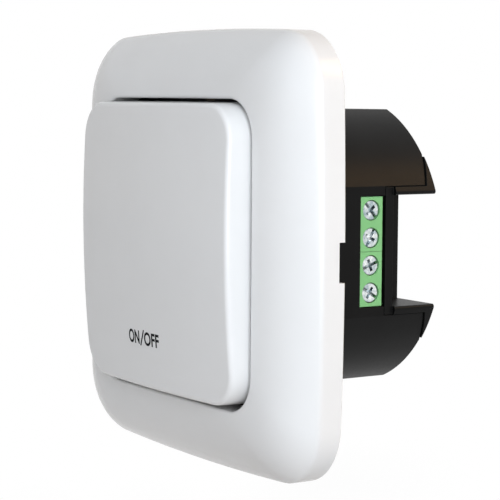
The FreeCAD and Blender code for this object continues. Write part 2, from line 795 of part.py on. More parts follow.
def make_tact_switch():
    """Body of the push-button switch, with four pins and a bore for the plunger."""
    half = tact_size / 2.0
    body = box(-half, half, tact_front_y, board_front_y, tact_z - half, tact_z + half)
    bore_y = tact_front_y + plunger_engagement + plunger_travel + plunger_spare_travel
    bore = rod_y(plunger_radius + plunger_clearance, tact_front_y - 1.0, bore_y, 0.0, tact_z)
    pins = [rod_y(pin_radius, board_front_y - 1.0, board_rear_y + pin_protrusion, x, z) for x, z in tact_pins]
    return joined(body, pins).cut(bore)


def make_plunger():
    """Plunger of the push-button switch, between the key's post and the switch."""
    return rod_y(plunger_radius, -plunger_end_height, tact_front_y + plunger_engagement, 0.0, tact_z)


def make_relay():
    """Sealed relay."""
    top_y = board_rear_y + relay_depth
    body = rounded_block(relay_x[0], relay_x[1], relay_z[0], relay_z[1], relay_corner, board_rear_y, top_y)
    return joined(body, rear_pins(relay_pins(), board_rear_y + 1.0))


def make_film_capacitor():
    """Box-shaped film capacitor."""
    top_y = board_rear_y + film_depth
    body = rounded_block(film_x[0], film_x[1], film_z[0], film_z[1], film_corner, board_rear_y, top_y)
    return joined(body, rear_pins(film_pins(), board_rear_y + 1.0))


def make_can(place, radius, depth, pitch):
    """Round capacitor can with a rolled groove near the board."""
    x, z = place
    top_y = board_rear_y + depth
    can = rod_y(radius, board_rear_y, top_y, x, z)
    top_edge = [edge for edge in can.Edges if abs(edge.BoundBox.YMin - top_y) < 0.01]
    can = can.makeFillet(can_edge, top_edge)
    groove_y = board_rear_y + can_groove_offset
    ring = rod_y(radius + 1.0, groove_y, groove_y + can_groove_width, x, z)
    ring = ring.cut(rod_y(radius - can_groove_depth, groove_y - 1.0, groove_y + 2.0 * can_groove_width, x, z))
    return joined(can.cut(ring), rear_pins(pair_pins(place, pitch), board_rear_y + 1.0))


def make_varistor():
    """Disc varistor standing on its two leads."""
    x, z = varistor_place
    centre_y = board_rear_y + varistor_lift + varistor_radius
    disc = rod_x(varistor_radius, x - varistor_thickness / 2.0, x + varistor_thickness / 2.0, centre_y, z)
    return joined(disc, rear_pins(varistor_pins(), centre_y))


def make_fuse():
    """Round board fuse."""
    top_y = board_rear_y + fuse_depth
    body = rod_y(fuse_radius, board_rear_y, top_y, fuse_place[0], fuse_place[1])
    top_edge = [edge for edge in body.Edges if abs(edge.BoundBox.YMin - top_y) < 0.01]
    body = body.makeFillet(can_edge, top_edge)
    return joined(body, rear_pins(pair_pins(fuse_place, fuse_pin_pitch), board_rear_y + 1.0))


def make_header():
    """Pin header between the board and the radio module."""
    half = header_width / 2.0
    places = header_pins()
    body = box(places[0][0] - half, places[-1][0] + half, board_rear_y, board_rear_y + header_depth,
               header_z - half, header_z + half)
    return joined(body, rear_pins(places, board_rear_y + header_depth + module_thickness + pin_radius))


def make_radio_board():
    """Small board of the radio module."""
    y = board_rear_y + header_depth
    board = box(module_x[0], module_x[1], y, y + module_thickness, module_z[0], module_z[1])
    holes = [rod_y(pin_radius + pin_hole_clearance, y - 1.0, y + module_thickness + 1.0, px, pz)
             for px, pz in header_pins()]
    return board.cut(holes)


def make_radio_shield():
    """Metal can over the radio circuit."""
    y = board_rear_y + header_depth + module_thickness
    return rounded_block(shield_x[0], shield_x[1], shield_z[0], shield_z[1], shield_corner,
                         y, y + shield_depth)


def coil(radius, wire, turns, length):
    """Round wire coiled around the Z axis, from height 0 to the given length."""
    pitch = length / turns
    path = Part.Wire(Part.makeHelix(pitch, length, radius).Edges)
    slope = pitch / (2.0 * math.pi * radius)
    section = Part.Wire(Part.makeCircle(wire / 2.0, V(radius, 0, 0), V(0, 1, slope)))
    return path.makePipeShell([section], True, True)


def make_antenna():
    """Wire coil antenna on one leg."""
    winding = coil(antenna_radius, antenna_wire, antenna_turns, antenna_length)
    winding.rotate(V(0, 0, 0), V(0, 0, 1), -90)
    winding.rotate(V(0, 0, 0), V(0, 1, 0), -90)
    axis_y = board_rear_y + antenna_lift + antenna_radius
    winding.translate(V(antenna_start_x, axis_y, antenna_z))
    leg_end_y = axis_y - antenna_radius + antenna_wire / 4.0
    leg = rod_y(antenna_leg_radius, board_front_y - pin_protrusion, leg_end_y,
                antenna_start_x, antenna_z)
    return joined(winding, [leg])


def make_spring(sign):
    """Compression spring between the housing and the key."""
    seat_y = flange_front_y + spring_seat_depth
    length = spring_boss_height + seat_y - spring_wire
    spring = coil(spring_radius, spring_wire, spring_turns, length)
    spring.rotate(V(0, 0, 0), V(1, 0, 0), 90)
    spring.translate(V(sign * spring_x, seat_y - spring_wire / 2.0, spring_z))
    return spring


def make_flat_pack(place, length, width, depth, lead_count, lead_pitch, lead_width):
    """Flat surface-mounted part on the front of the board, with a row of leads on each long side."""
    x, z = place
    base_y = board_front_y - chip_standoff
    body = box(x - length / 2.0, x + length / 2.0, base_y - depth, base_y, z - width / 2.0, z + width / 2.0)
    leads = []
    for index in range(lead_count):
        lead_x = x + lead_pitch * (index - (lead_count - 1) / 2.0)
        for sign in (-1, 1):
            near = z + sign * (width / 2.0 - chip_lead_thickness)
            far = z + sign * (width / 2.0 + chip_lead_reach)
            knee = z + sign * (width / 2.0 + chip_lead_thickness)
            mid_y = base_y - depth / 2.0
            x0 = lead_x - lead_width / 2.0
            x1 = lead_x + lead_width / 2.0
            leads.append(box(x0, x1, mid_y, mid_y + chip_lead_thickness, min(near, knee), max(near, knee)))
            edge = sorted((z + sign * width / 2.0, knee))
            leads.append(box(x0, x1, mid_y, board_front_y, edge[0], edge[1]))
            foot = sorted((z + sign * width / 2.0, far))
            leads.append(box(x0, x1, board_front_y - chip_lead_thickness, board_front_y, foot[0], foot[1]))
    return joined(body, leads)


shapes = {
    "frame": make_frame(),
    "key": make_key(),
    "housing": make_housing(),
    "rear_cover": make_rear_cover(),
    "terminal_block_upper": make_terminal_block(0),
    "terminal_block_lower": make_terminal_block(poles_per_block),
    "control_board": make_control_board(),
    "board_screws": make_board_screws(),
    "tact_switch": make_tact_switch(),
    "tact_plunger": make_plunger(),
    "relay": make_relay(),
    "film_capacitor": make_film_capacitor(),
    "electrolytic_large": make_can(large_can_place, large_can_radius, large_can_depth, large_can_pin_pitch),
    "electrolytic_small": make_can(small_can_place, small_can_radius, small_can_depth, small_can_pin_pitch),
    "varistor": make_varistor(),
    "fuse": make_fuse(),
    "module_header": make_header(),
    "radio_board": make_radio_board(),
    "radio_shield": make_radio_shield(),
    "antenna_coil": make_antenna(),
    "microcontroller": make_flat_pack(chip_place, chip_length, chip_width, chip_depth,
                                      chip_lead_count, chip_lead_pitch, chip_lead_width),
    "rectifier": make_flat_pack(rectifier_place, rectifier_length, rectifier_width, rectifier_depth,
                                rectifier_lead_count, rectifier_lead_pitch, rectifier_lead_width),
    "return_spring_left": make_spring(-1),
    "return_spring_right": make_spring(1),
}
for number in range(pole_count):
    shapes["terminal_screw_%d" % (number + 1)] = make_terminal_screw(number)
    shapes["clamp_cage_%d" % (number + 1)] = make_clamp_cage(number)
    shapes["contact_bar_%d" % (number + 1)] = make_contact_bar(number)

for name, shape in shapes.items():
    shape.exportStep("parts/%s.step" % name)
    state = "valid" if shape.isValid() else "INVALID"
    print(name, state, len(shape.Solids), "solids", round(shape.Volume, 1))
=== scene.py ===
import math
import bmesh
import bpy
from mathutils import Matrix, Vector


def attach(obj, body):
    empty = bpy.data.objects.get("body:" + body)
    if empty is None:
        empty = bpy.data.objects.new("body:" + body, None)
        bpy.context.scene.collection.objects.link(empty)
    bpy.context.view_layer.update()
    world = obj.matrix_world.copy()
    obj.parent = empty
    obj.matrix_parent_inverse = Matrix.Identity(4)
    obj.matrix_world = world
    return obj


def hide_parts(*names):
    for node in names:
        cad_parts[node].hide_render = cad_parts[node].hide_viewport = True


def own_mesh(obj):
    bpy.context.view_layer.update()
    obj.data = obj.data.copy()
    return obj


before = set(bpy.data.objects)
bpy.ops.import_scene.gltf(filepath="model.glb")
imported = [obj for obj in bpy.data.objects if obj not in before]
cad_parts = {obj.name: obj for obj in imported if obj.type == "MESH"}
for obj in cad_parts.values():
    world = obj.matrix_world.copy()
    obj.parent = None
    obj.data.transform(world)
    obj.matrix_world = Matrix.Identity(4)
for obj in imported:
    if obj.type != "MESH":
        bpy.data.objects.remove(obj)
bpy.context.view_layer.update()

MM = 0.001

# Cover frame, in millimetres, as in the CAD; heights run from the wall plane towards the room
frame_half = 40.65
frame_bow = 0.6
straight_bow = 0.05
frame_corner = 11.5
band_corner = 8.5
side_height = 4.7
lip_height = 11.3
band_bulge = 1.75
frame_wall = 2.0
opening_half = 27.9
opening_corner = 7.5
collar_wall = 1.5
collar_end = 5.2
notch_width = 7.0
notch_depth = 1.35
post_offset = 31.5
post_size = 4.4
post_root = 7.0
post_end = 2.6
snap_stem = 1.6
snap_width = 3.0
snap_root = 3.0
snap_nose = 0.7
snap_catch = 1.1
snap_tip = 0.3

# Push key, in millimetres, as in the CAD; the hooks reach behind the wall plane
key_half = 27.4
key_bottom = 26.8
key_corner = 7.0
key_height = 17.1
key_skirt = 6.5
key_wall = 1.8
key_edge = 0.9
key_draft = math.tan(math.radians(2.0))
crown_radius = 280.0
crown_z = 5.0
pin_radius = 1.5
pin_height = 8.6
pin_z = 20.0
pin_start = 22.3
pin_end = 26.2
hook_x = 9.0
hook_z = -21.5
hook_width = 4.0
hook_stem = 1.6
hook_nose = 1.0
hook_root = 14.8
hook_catch_depth = 0.05
hook_tip_depth = 1.35
spring_x = 15.0
spring_z = -10.0
boss_radius = 3.0
boss_root = 15.6
boss_end = 14.2
guide_radius = 1.3
guide_end = 11.7
actuator_radius = 2.0
actuator_z = -2.0
actuator_root = 16.0
actuator_end = 4.05

# Rounded edges of the two shells, in millimetres, and how finely the shells are drawn
lip_round = 0.5
rear_edge = 0.25
fold_round = 0.3
side_points = 20
corner_points = 14
band_steps = 40
inside_steps = 10
lip_steps = 6
key_edge_steps = 8
face_rings = 16
under_rings = 6
rod_points = 40
search_step = 0.002
sharp_deg = 35.0
key_sharp_deg = 50.0

# Lettering: sizes in millimetres, places of its strokes as shares of its width and of its cap height
letter_width = 11.5
cap_height = 2.62
letter_x = -1.25
letter_z = -16.93
letter_lift = 0.015
letter_weight = 0.028
words = (("ON", 0.0, 0.36), ("OFF", 0.518, 1.0))
slash = [(0.372, -0.07), (0.412, -0.07), (0.536, 1.10), (0.496, 1.10)]

pole_count = 4

# Floor, in metres
floor_z = -0.075
floor_half = 3.0


def quarter_turns(points):
    """The same run of outline points on each of the four sides."""
    turned = []
    for quarter in range(4):
        cosine = (1, 0, -1, 0)[quarter]
        sine = (0, 1, 0, -1)[quarter]
        turned += [(x * cosine + z * sine, z * cosine - x * sine) for x, z in points]
    return turned


def outline(half, radius, bow):
    """Points around a rounded square whose sides bow out a little."""
    side_radius = ((half - radius) ** 2 + bow ** 2) / (2.0 * bow)
    k = side_radius - half
    m = side_radius - radius
    c = (math.sqrt(2.0 * m ** 2 - k ** 2) - k) / 2.0
    end_x = side_radius * c / m
    end_z = side_radius * (c + k) / m - k
    points = []
    for index in range(side_points):
        x = -end_x + 2.0 * end_x * index / side_points
        points.append((x, math.sqrt(side_radius ** 2 - x ** 2) - k))
    first = math.atan2(end_z - c, end_x - c)
    last = math.atan2(end_x - c, end_z - c)
    for index in range(corner_points):
        angle = first + (last - first) * index / corner_points
        points.append((c + radius * math.cos(angle), c + radius * math.sin(angle)))
    return quarter_turns(points)


def ring(bm, points, heights):
    """One loop of vertices; a height is measured from the wall plane towards the room."""
    if not hasattr(heights, "__len__"):
        heights = [heights] * len(points)
    return [bm.verts.new((x * MM, -h * MM, z * MM)) for (x, z), h in zip(points, heights)]


def bridge(bm, a, b):
    """Quads between two loops."""
    count = len(a)
    for index in range(count):
        following = (index + 1) % count
        bm.faces.new((a[index], b[index], b[following], a[following]))


def fan(bm, loop, centre):
    """Triangles between a loop and its middle point."""
    for index in range(len(loop)):
        bm.faces.new((loop[index], centre, loop[(index + 1) % len(loop)]))


def block(bm, x0, x1, y0, y1, z0, z1):
    """Small box, given in CAD millimetres."""
    made = bmesh.ops.create_cube(bm, size=1.0)
    size = Vector(((x1 - x0) * MM, (y1 - y0) * MM, (z1 - z0) * MM))
    middle = Vector(((x0 + x1) / 2 * MM, (y0 + y1) / 2 * MM, (z0 + z1) / 2 * MM))
    for vert in made["verts"]:
        vert.co = Vector(a * b for a, b in zip(vert.co, size)) + middle


def rod(bm, radius, start, end):
    """Small round rod between two points, given in CAD millimetres."""
    axis = (Vector(end) - Vector(start)) * MM
    turn = Vector((0, 0, 1)).rotation_difference(axis).to_matrix().to_4x4()
    place = Matrix.Translation((Vector(start) + Vector(end)) / 2 * MM) @ turn
    bmesh.ops.create_cone(bm, cap_ends=True, segments=rod_points, radius1=radius * MM, radius2=radius * MM,
                          depth=axis.length, matrix=place)


def finish_mesh(bm, name, smooth_deg=sharp_deg):
    """Turns a bmesh into an object with smooth faces and sharp edges."""
    bmesh.ops.recalc_face_normals(bm, faces=bm.faces)
    for face in bm.faces:
        face.smooth = True
    for edge in bm.edges:
        edge.smooth = not edge.is_manifold or edge.calc_face_angle(0.0) < math.radians(smooth_deg)
    mesh = bpy.data.meshes.new(name)
    bm.to_mesh(mesh)
    bm.free()
    obj = bpy.data.objects.new(name, mesh)
    bpy.context.scene.collection.objects.link(obj)
    return obj


# The frame's front band is an arc from its outer edge, where its tilt is greatest, to the opening
band_run = frame_half - opening_half
band_rise = lip_height - side_height
band_chord = math.hypot(band_run, band_rise)
band_radius = (band_chord ** 2 / 4.0 + band_bulge ** 2) / (2.0 * band_bulge)
band_half_turn = math.asin(band_chord / 2.0 / band_radius)
band_edge_tilt = math.atan2(band_rise, band_run) + band_half_turn


def band_section(t, inset):
    """Half width, corner radius, bow and height of the front band, moved inwards by a depth."""
    tilt = band_edge_tilt - 2.0 * band_half_turn * t
    out = math.sin(tilt)
    up = math.cos(tilt)
    half = frame_half + band_radius * (out - math.sin(band_edge_tilt))
    height = side_height + band_radius * (up - math.cos(band_edge_tilt))
    radius = (frame_corner * (1 - t) * (1 - 2 * t) + band_corner * 4 * t * (1 - t)
              + opening_corner * t * (2 * t - 1))
    return half - inset * out, radius - inset * out, straight_bow + frame_bow * (1 - t), height - inset * up


def frame_sections():
    """Profile of the frame, once around its wall: outside, front, opening, collar, inside."""
    side_bow = straight_bow + frame_bow
    sections = [(frame_half - rear_edge, frame_corner - rear_edge, side_bow, 0.0),
                (frame_half, frame_corner, side_bow, rear_edge),
                (frame_half, frame_corner, side_bow, side_height - 2.0 * fold_round),
                (frame_half, frame_corner, side_bow, side_height - fold_round)]
    last = 1.0
    while band_section(last, 0.0)[0] < opening_half + lip_round:
        last -= search_step
    first = fold_round / (2.0 * band_half_turn * band_radius)
    for step in range(band_steps + 1):
        sections.append(band_section(first + (last - first) * step / band_steps, 0.0))
    top = band_section(last, 0.0)[3]
    for step in range(1, lip_steps + 1):
        angle = math.pi / 2 * step / lip_steps
        sections.append((opening_half + lip_round * (1 - math.sin(angle)), opening_corner, straight_bow,
                         top - lip_round * (1 - math.cos(angle))))
    sections.append((opening_half, opening_corner, straight_bow, collar_end + rear_edge))
    sections.append((opening_half + rear_edge, opening_corner + rear_edge, straight_bow, collar_end))
    outer = opening_half + collar_wall
    sections.append((outer - rear_edge, opening_corner + collar_wall, straight_bow, collar_end))
    sections.append((outer, opening_corner + collar_wall, straight_bow, collar_end + rear_edge))
    first_inside = 1.0
    while band_section(first_inside, frame_wall)[0] < outer:
        first_inside -= search_step
    for step in range(inside_steps + 1):
        sections.append(band_section(first_inside * (1 - step / inside_steps), frame_wall))
    inner = band_section(0.0, frame_wall)
    sections.append((inner[0], inner[1], inner[2], rear_edge))
    sections.append((inner[0] + rear_edge, inner[1] + rear_edge, inner[2], 0.0))
    return sections


def cut_box(obj, low, high):
    """Cuts a box out of a new piece."""
    bm = bmesh.new()
    block(bm, low[0], high[0], low[1], high[1], low[2], high[2])
    cutter = finish_mesh(bm, "cutter")
    modifier = obj.modifiers.new("cut", "BOOLEAN")
    modifier.operation = "DIFFERENCE"
    modifier.solver = "EXACT"
    modifier.object = cutter
    graph = bpy.context.evaluated_depsgraph_get()
    cut = bpy.data.meshes.new_from_object(obj.evaluated_get(graph))
    obj.modifiers.clear()
    cut.set_sharp_from_angle(angle=math.radians(sharp_deg))
    obj.data = cut
    bpy.data.objects.remove(cutter)


def make_frame_shell():
    """Cover frame with its collar and pry notch."""
    bm = bmesh.new()
    loops = [ring(bm, outline(half, radius, bow), height) for half, radius, bow, height in frame_sections()]
    for index, loop in enumerate(loops):
        bridge(bm, loop, loops[(index + 1) % len(loops)])
    obj = finish_mesh(bm, "frame_shell")
    # The cutter runs from inside the side wall to past the frame's side and rear edge
    start_x, end_x, overrun = 30.0, 60.0, 1.0
    cut_box(obj, (start_x, -notch_depth, -notch_width / 2), (end_x, overrun, notch_width / 2))
    return obj


def make_frame_posts():
    """Snap posts inside the frame's four corners: a thick post, a thin stem and its nose."""
    bm = bmesh.new()
    half_post = post_size / 2
    half_stem = snap_stem / 2
    half_width = snap_width / 2
    for sign_x in (-1, 1):
        for sign_z in (-1, 1):
            x = post_offset * sign_x
            z = post_offset * sign_z
            block(bm, x - half_post, x + half_post, -post_root, -post_end, z - half_post, z + half_post)
            block(bm, x - half_stem, x + half_stem, -snap_root, -snap_tip, z - half_width, z + half_width)
            nose = sorted((x, x + sign_x * (half_stem + snap_nose)))
            block(bm, nose[0], nose[1], -snap_catch, -snap_tip, z - half_width, z + half_width)
    return finish_mesh(bm, "frame_posts")


def crown_height(x, z, depth=0.0):
    """Height of the key's crowned face above the wall plane."""
    reach = crown_radius - depth
    return key_height - crown_radius + math.sqrt(reach ** 2 - x ** 2 - (z - crown_z) ** 2)


def key_side(heights, inset):
    """Points of the key's side at one height for each, drawn in by the draft and by an inset."""
    outer = outline(key_half, key_corner, straight_bow)
    inner = outline(key_half - 1.0, key_corner - 1.0, straight_bow)
    points = []
    for (x0, z0), (x1, z1), height in zip(outer, inner, heights):
        shrink = (height - key_skirt) * key_draft + inset
        x = x0 + (x1 - x0) * shrink
        z = z0 + (z1 - z0) * shrink
        points.append((x, z if z > 0.0 else z * key_bottom / key_half))
    return points


def key_edge_heights(inset, depth):
    """Height of the crowned face, or of a surface behind it, above each point of the key's side."""
    heights = [crown_height(x, z, depth) for x, z in outline(key_half, key_corner, straight_bow)]
    return [crown_height(x, z, depth) for x, z in key_side(heights, inset)]


def crowned_loops(bm, edge, depth, count):
    """Loops of a crowned face, from its edge to near its middle."""
    loops = []
    for step in range(count, 0, -1):
        points = [(x * step / count, z * step / count) for x, z in edge]
        loops.append(ring(bm, points, [crown_height(x, z, depth) for x, z in points]))
    return loops


def make_key_shell():
    """Push key: crowned face, rounded edge, tapered skirt and hollow inside."""
    bm = bmesh.new()
    top = key_edge_heights(key_edge, 0.0)
    loops = crowned_loops(bm, key_side(top, key_edge), 0.0, face_rings)
    loops.reverse()
    for step in range(1, key_edge_steps + 1):
        angle = math.pi / 2 * step / key_edge_steps
        inset = key_edge * (1 - math.sin(angle))
        heights = [h - key_edge * (1 - math.cos(angle)) for h in top]
        loops.append(ring(bm, key_side(heights, inset), heights))
    count = len(top)
    for height, inset in ((key_skirt + rear_edge, 0.0), (key_skirt, rear_edge), (key_skirt, key_wall)):
        loops.append(ring(bm, key_side([height] * count, inset), height))
    under = key_edge_heights(key_wall, key_wall)
    loops += crowned_loops(bm, key_side(under, key_wall), key_wall, under_rings)
    for first, second in zip(loops, loops[1:]):
        bridge(bm, first, second)
    fan(bm, loops[0], bm.verts.new((0, -crown_height(0, 0) * MM, 0)))
    fan(bm, loops[-1], bm.verts.new((0, -crown_height(0, 0, key_wall) * MM, 0)))
    return finish_mesh(bm, "key_shell", key_sharp_deg)


def make_key_inside():
    """Pivot pins, hooks, spring bosses with their guides, and the actuator post below the key."""
    bm = bmesh.new()
    half_hook = hook_width / 2
    stem_low = hook_z - hook_stem / 2
    stem_high = hook_z + hook_stem / 2
    for sign in (-1, 1):
        rod(bm, pin_radius, (pin_start * sign, -pin_height, pin_z), (pin_end * sign, -pin_height, pin_z))
        left = hook_x * sign - half_hook
        right = hook_x * sign + half_hook
        block(bm, left, right, -hook_root, hook_tip_depth, stem_low, stem_high)
        block(bm, left, right, hook_catch_depth, hook_tip_depth, stem_low - hook_nose, hook_z)
        x = spring_x * sign
        rod(bm, boss_radius, (x, -boss_root, spring_z), (x, -boss_end, spring_z))
        rod(bm, guide_radius, (x, -boss_root, spring_z), (x, -guide_end, spring_z))
    rod(bm, actuator_radius, (0.0, -actuator_root, actuator_z), (0.0, -actuator_end, actuator_z))
    return finish_mesh(bm, "key_inside")


def letter_mesh(word):
    """Flat letters of one word, as points between 0 and 1 both ways, and faces."""
    curve = bpy.data.curves.new("letters", "FONT")
    curve.body = word
    curve.offset = letter_weight
    curve.resolution_u = 8
    text = bpy.data.objects.new("letters", curve)
    bpy.context.scene.collection.objects.link(text)
    graph = bpy.context.evaluated_depsgraph_get()
    mesh = bpy.data.meshes.new_from_object(text.evaluated_get(graph))
    bpy.data.objects.remove(text)
    xs = [v.co.x for v in mesh.vertices]
    ys = [v.co.y for v in mesh.vertices]
    width = max(xs) - min(xs)
    height = max(ys) - min(ys)
    points = [((v.co.x - min(xs)) / width, (v.co.y - min(ys)) / height) for v in mesh.vertices]
    return points, [tuple(face.vertices) for face in mesh.polygons]


def make_lettering():
    """ON/OFF printed on the key, laid on its crowned face: two words and a slanted stroke between them."""
    bm = bmesh.new()
    pieces = [(slash, [(0, 1, 2, 3)])]
    for word, start, end in words:
        points, faces = letter_mesh(word)
        pieces.append(([(start + x * (end - start), y) for x, y in points], faces))
    for points, faces in pieces:
        verts = []
        for u, v in points:
            x = (u - 0.5) * letter_width + letter_x
            z = (v - 0.5) * cap_height + letter_z
            verts.append(bm.verts.new((x * MM, -(crown_height(x, z) + letter_lift) * MM, z * MM)))
        for face in faces:
            bm.faces.new([verts[index] for index in face])
    return finish_mesh(bm, "lettering")


class Nodes:
    """Small helper that builds a material's nodes."""

    def __init__(self, name):
        self.material = bpy.data.materials.new(name)
        self.material.use_nodes = True
        self.tree = self.material.node_tree
        self.shader = self.tree.nodes["Principled BSDF"]
        coordinates = self.tree.nodes.new("ShaderNodeTexCoord")
        self.place = coordinates.outputs["Object"]

    def link(self, a, b):
        """Joins an output to an input."""
        self.tree.links.new(a, b)

    def noise(self, scale, detail, roughness=0.55):
        """Noise over the piece, by its own coordinates."""
        node = self.tree.nodes.new("ShaderNodeTexNoise")
        node.inputs["Scale"].default_value = scale
        node.inputs["Detail"].default_value = detail
        node.inputs["Roughness"].default_value = roughness
        self.link(self.place, node.inputs["Vector"])
        return node.outputs["Fac"]

    def span(self, value, low, high, to_low=0.0, to_high=1.0):
        """A value stretched from one range to another."""
        node = self.tree.nodes.new("ShaderNodeMapRange")
        node.inputs["From Min"].default_value = low
        node.inputs["From Max"].default_value = high
        node.inputs["To Min"].default_value = to_low
        node.inputs["To Max"].default_value = to_high
        self.link(value, node.inputs["Value"])
        return node.outputs["Result"]

    def mix(self, factor, a, b):
        """Colour between two others, each a plain colour or an output."""
        node = self.tree.nodes.new("ShaderNodeMix")
        node.data_type = "RGBA"
        self.link(factor, node.inputs["Factor"])
        for socket, value in ((node.inputs["A"], a), (node.inputs["B"], b)):
            if hasattr(value, "is_linked"):
                self.link(value, socket)
            else:
                socket.default_value = (*value, 1.0)
        return node.outputs["Result"]

    def bump(self, height, strength, distance, radius=0.0):
        """Relief from a height, over edges that look rounded where a radius is given."""
        node = self.tree.nodes.new("ShaderNodeBump")
        node.inputs["Strength"].default_value = strength
        node.inputs["Distance"].default_value = distance
        self.link(height, node.inputs["Height"])
        if radius > 0.0:
            edge = self.tree.nodes.new("ShaderNodeBevel")
            edge.samples = 6
            edge.inputs["Radius"].default_value = radius
            self.link(edge.outputs["Normal"], node.inputs["Normal"])
        self.link(node.outputs["Normal"], self.shader.inputs["Normal"])


def plastic(name, dark, light, rough, grain, depth, radius=0.0, shine=0.5):
    """Moulded plastic: slight clouding of its colour, uneven gloss and a fine grain. Lengths in metres."""
    nodes = Nodes(name)
    clouds = nodes.span(nodes.noise(scale=60.0, detail=3.0), low=0.3, high=0.7)
    nodes.link(nodes.mix(clouds, dark, light), nodes.shader.inputs["Base Color"])
    fine = nodes.noise(scale=grain, detail=2.0)
    gloss = nodes.span(fine, low=0.25, high=0.75, to_low=rough[0], to_high=rough[1])
    nodes.link(gloss, nodes.shader.inputs["Roughness"])
    nodes.shader.inputs["IOR"].default_value = 1.5
    nodes.shader.inputs["Specular IOR Level"].default_value = shine
    nodes.bump(fine, strength=0.35, distance=depth, radius=radius)
    return nodes.material


def metal(name, dark, light, rough, grain, depth, radius=0.0):
    """Plated metal: blotches in its colour, painted shade darkening its recesses and an uneven gloss. Lengths
    in metres.
    """
    nodes = Nodes(name)
    blotches = nodes.span(nodes.noise(scale=grain * 0.3, detail=4.0), low=0.3, high=0.7)
    # Painted shade: ambient occlusion darkens the colour in slots and recesses, where shade falls
    recess = nodes.tree.nodes.new("ShaderNodeAmbientOcclusion")
    recess.samples = 8
    recess.inputs["Distance"].default_value = 0.0006
    open_face = nodes.span(recess.outputs["AO"], low=0.45, high=0.85)
    recess_shade_level = 0.2
    recess_shade_colour = tuple(value * recess_shade_level for value in dark)
    colour = nodes.mix(open_face, recess_shade_colour, nodes.mix(blotches, dark, light))
    nodes.link(colour, nodes.shader.inputs["Base Color"])
    fine = nodes.noise(scale=grain, detail=5.0, roughness=0.65)
    gloss = nodes.span(fine, low=0.25, high=0.75, to_low=rough[0], to_high=rough[1])
    nodes.link(gloss, nodes.shader.inputs["Roughness"])
    nodes.shader.inputs["Metallic"].default_value = 1.0
    nodes.bump(fine, strength=0.5, distance=depth, radius=radius)
    return nodes.material


def circuit_board(name):
    """Green solder mask over copper tracks."""
    nodes = Nodes(name)
    tracks = nodes.tree.nodes.new("ShaderNodeTexBrick")
    tracks.inputs["Scale"].default_value = 160.0
    tracks.inputs["Mortar Size"].default_value = 0.03
    tracks.inputs["Color1"].default_value = (0.016, 0.12, 0.045, 1.0)
    tracks.inputs["Color2"].default_value = (0.022, 0.15, 0.055, 1.0)
    tracks.inputs["Mortar"].default_value = (0.035, 0.21, 0.08, 1.0)
    turned = nodes.tree.nodes.new("ShaderNodeMapping")
    turned.inputs["Rotation"].default_value = (math.pi / 2, 0.0, 0.0)
    nodes.link(nodes.place, turned.inputs["Vector"])
    nodes.link(turned.outputs["Vector"], tracks.inputs["Vector"])
    nodes.link(tracks.outputs["Color"], nodes.shader.inputs["Base Color"])
    weave = nodes.noise(scale=2500.0, detail=2.0)
    gloss = nodes.span(weave, low=0.3, high=0.7, to_low=0.25, to_high=0.45)
    nodes.link(gloss, nodes.shader.inputs["Roughness"])
    nodes.bump(tracks.outputs["Fac"], strength=0.4, distance=0.00004)
    return nodes.material


def paint(obj, material):
    """Gives a piece or a CAD node one material."""
    obj.data.materials.clear()
    obj.data.materials.append(material)


def make_spring(side):
    """Return spring with its CAD shape."""
    node = "return_spring_" + side
    spring = bpy.data.objects.new("spring_" + side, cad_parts[node].data.copy())
    bpy.context.scene.collection.objects.link(spring)
    paint(spring, steel)
    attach(spring, "base")
    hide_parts(node)
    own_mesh(spring)


def background_rays(tree):
    """1 for the rays that show the background: to the camera, in reflections and through clear pieces."""
    path = tree.nodes.new("ShaderNodeLightPath")
    total = path.outputs["Is Camera Ray"]
    for name in ("Is Glossy Ray", "Is Transmission Ray"):
        either = tree.nodes.new("ShaderNodeMath")
        either.operation = "MAXIMUM"
        tree.links.new(total, either.inputs[0])
        tree.links.new(path.outputs[name], either.inputs[1])
        total = either.outputs["Value"]
    return total


def backdrop_material():
    """Pale floor that shows white, with a soft shadow below the object."""
    nodes = Nodes("pale_floor")
    nodes.shader.inputs["Base Color"].default_value = (0.65, 0.65, 0.65, 1.0)
    nodes.shader.inputs["Roughness"].default_value = 0.9
    shade = nodes.tree.nodes.new("ShaderNodeAmbientOcclusion")
    shade.inputs["Distance"].default_value = 0.2
    glow = nodes.tree.nodes.new("ShaderNodeEmission")
    soft_shadow = nodes.span(shade.outputs["AO"], low=0.5, high=0.93, to_low=0.3, to_high=1.0)
    nodes.link(soft_shadow, glow.inputs["Strength"])
    mixed = nodes.tree.nodes.new("ShaderNodeMixShader")
    output = nodes.tree.nodes["Material Output"]
    nodes.link(background_rays(nodes.tree), mixed.inputs["Fac"])
    nodes.link(nodes.shader.outputs["BSDF"], mixed.inputs[1])
    nodes.link(glow.outputs["Emission"], mixed.inputs[2])
    nodes.link(mixed.outputs["Shader"], output.inputs["Surface"])
    return nodes.material


def make_floor():
    """Plain floor below the object."""
    bm = bmesh.new()
    bmesh.ops.create_grid(bm, x_segments=1, y_segments=1, size=floor_half)
    floor = finish_mesh(bm, "floor")
    floor.location = (0.0, 0.0, floor_z)
    paint(floor, backdrop_material())


